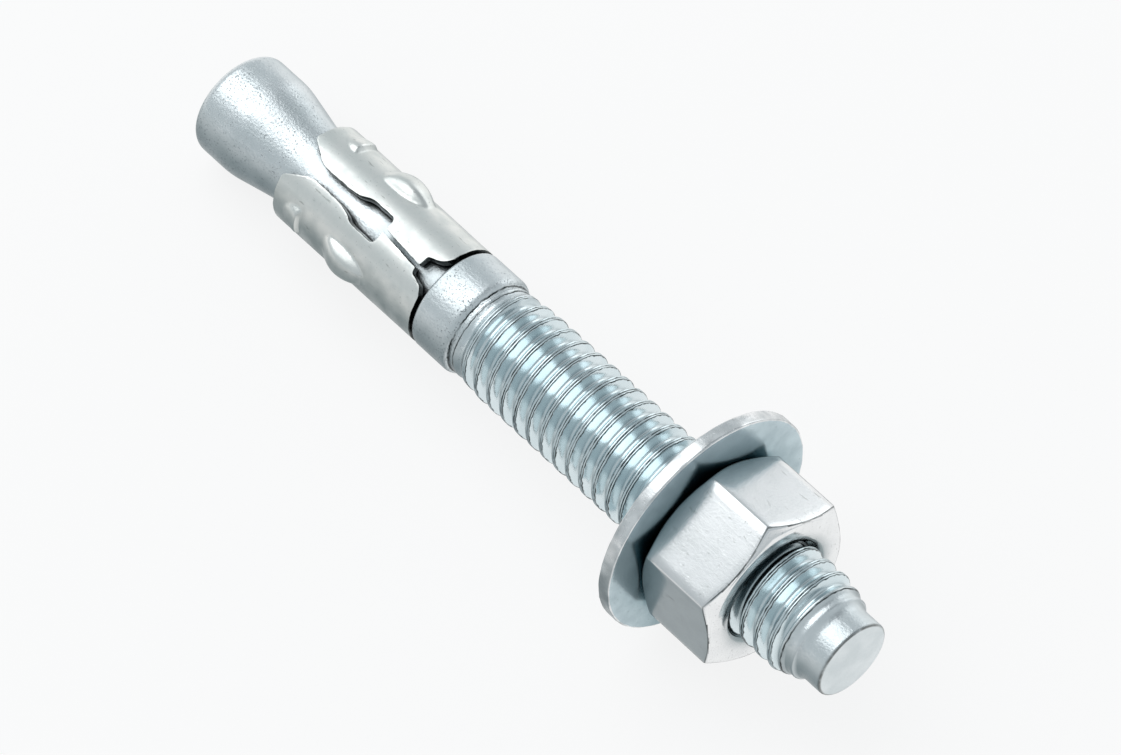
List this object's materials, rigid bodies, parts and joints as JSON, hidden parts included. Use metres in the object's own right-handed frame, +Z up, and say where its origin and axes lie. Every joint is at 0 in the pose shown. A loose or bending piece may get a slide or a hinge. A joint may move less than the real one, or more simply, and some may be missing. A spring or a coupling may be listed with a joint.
{
  "type": "wedge anchor",
  "caption": "Wedge anchor for concrete: threaded stud with a cone end, slotted sheet expansion clip, flat washer and hex nut.",
  "frame": {"origin": "centre of the bounding box, on the floor that the cone rim and the washer rim rest on", "axes": "+X from the cone end towards the threaded end, +Z up; the stud axis lies in the XZ plane, its threaded end raised"},
  "size_m": [0.0754, 0.021, 0.021],
  "materials": {
    "stud": "bright zinc plated, satin",
    "expansion_clip": "zinc plated sheet, matt",
    "washer": "bright zinc plated",
    "hex_nut": "bright zinc plated, smooth"
  },
  "bodies": {
    "stud": {"stud": "stud"},
    "clip": {"expansion_clip": "expansion_clip"},
    "washer": {"washer": "washer"},
    "nut": {"hex_nut": "hex_nut"}
  },
  "joints": [
    {"name": "clip_turn", "type": "hinge", "parent": "stud", "child": "clip", "pos_m": [-0.01845, 0, 0.00647], "axis": [0.9959, 0, 0.0906], "continuous": true},
    {"name": "washer_slide", "type": "slide", "parent": "stud", "child": "washer", "axis": [0.9959, 0, 0.0906], "range_m": [-0.0223, 0.0048]},
    {"name": "nut_turn", "type": "hinge", "parent": "washer", "child": "nut", "pos_m": [0.02438, 0, 0.01036], "axis": [0.9959, 0, 0.0906], "range_deg": [-5040, 1080]}
  ],
  "couplings": [
    {"joint": "washer_slide", "follows": "nut_turn", "m_per_rad": 0.00025266}
  ]
}
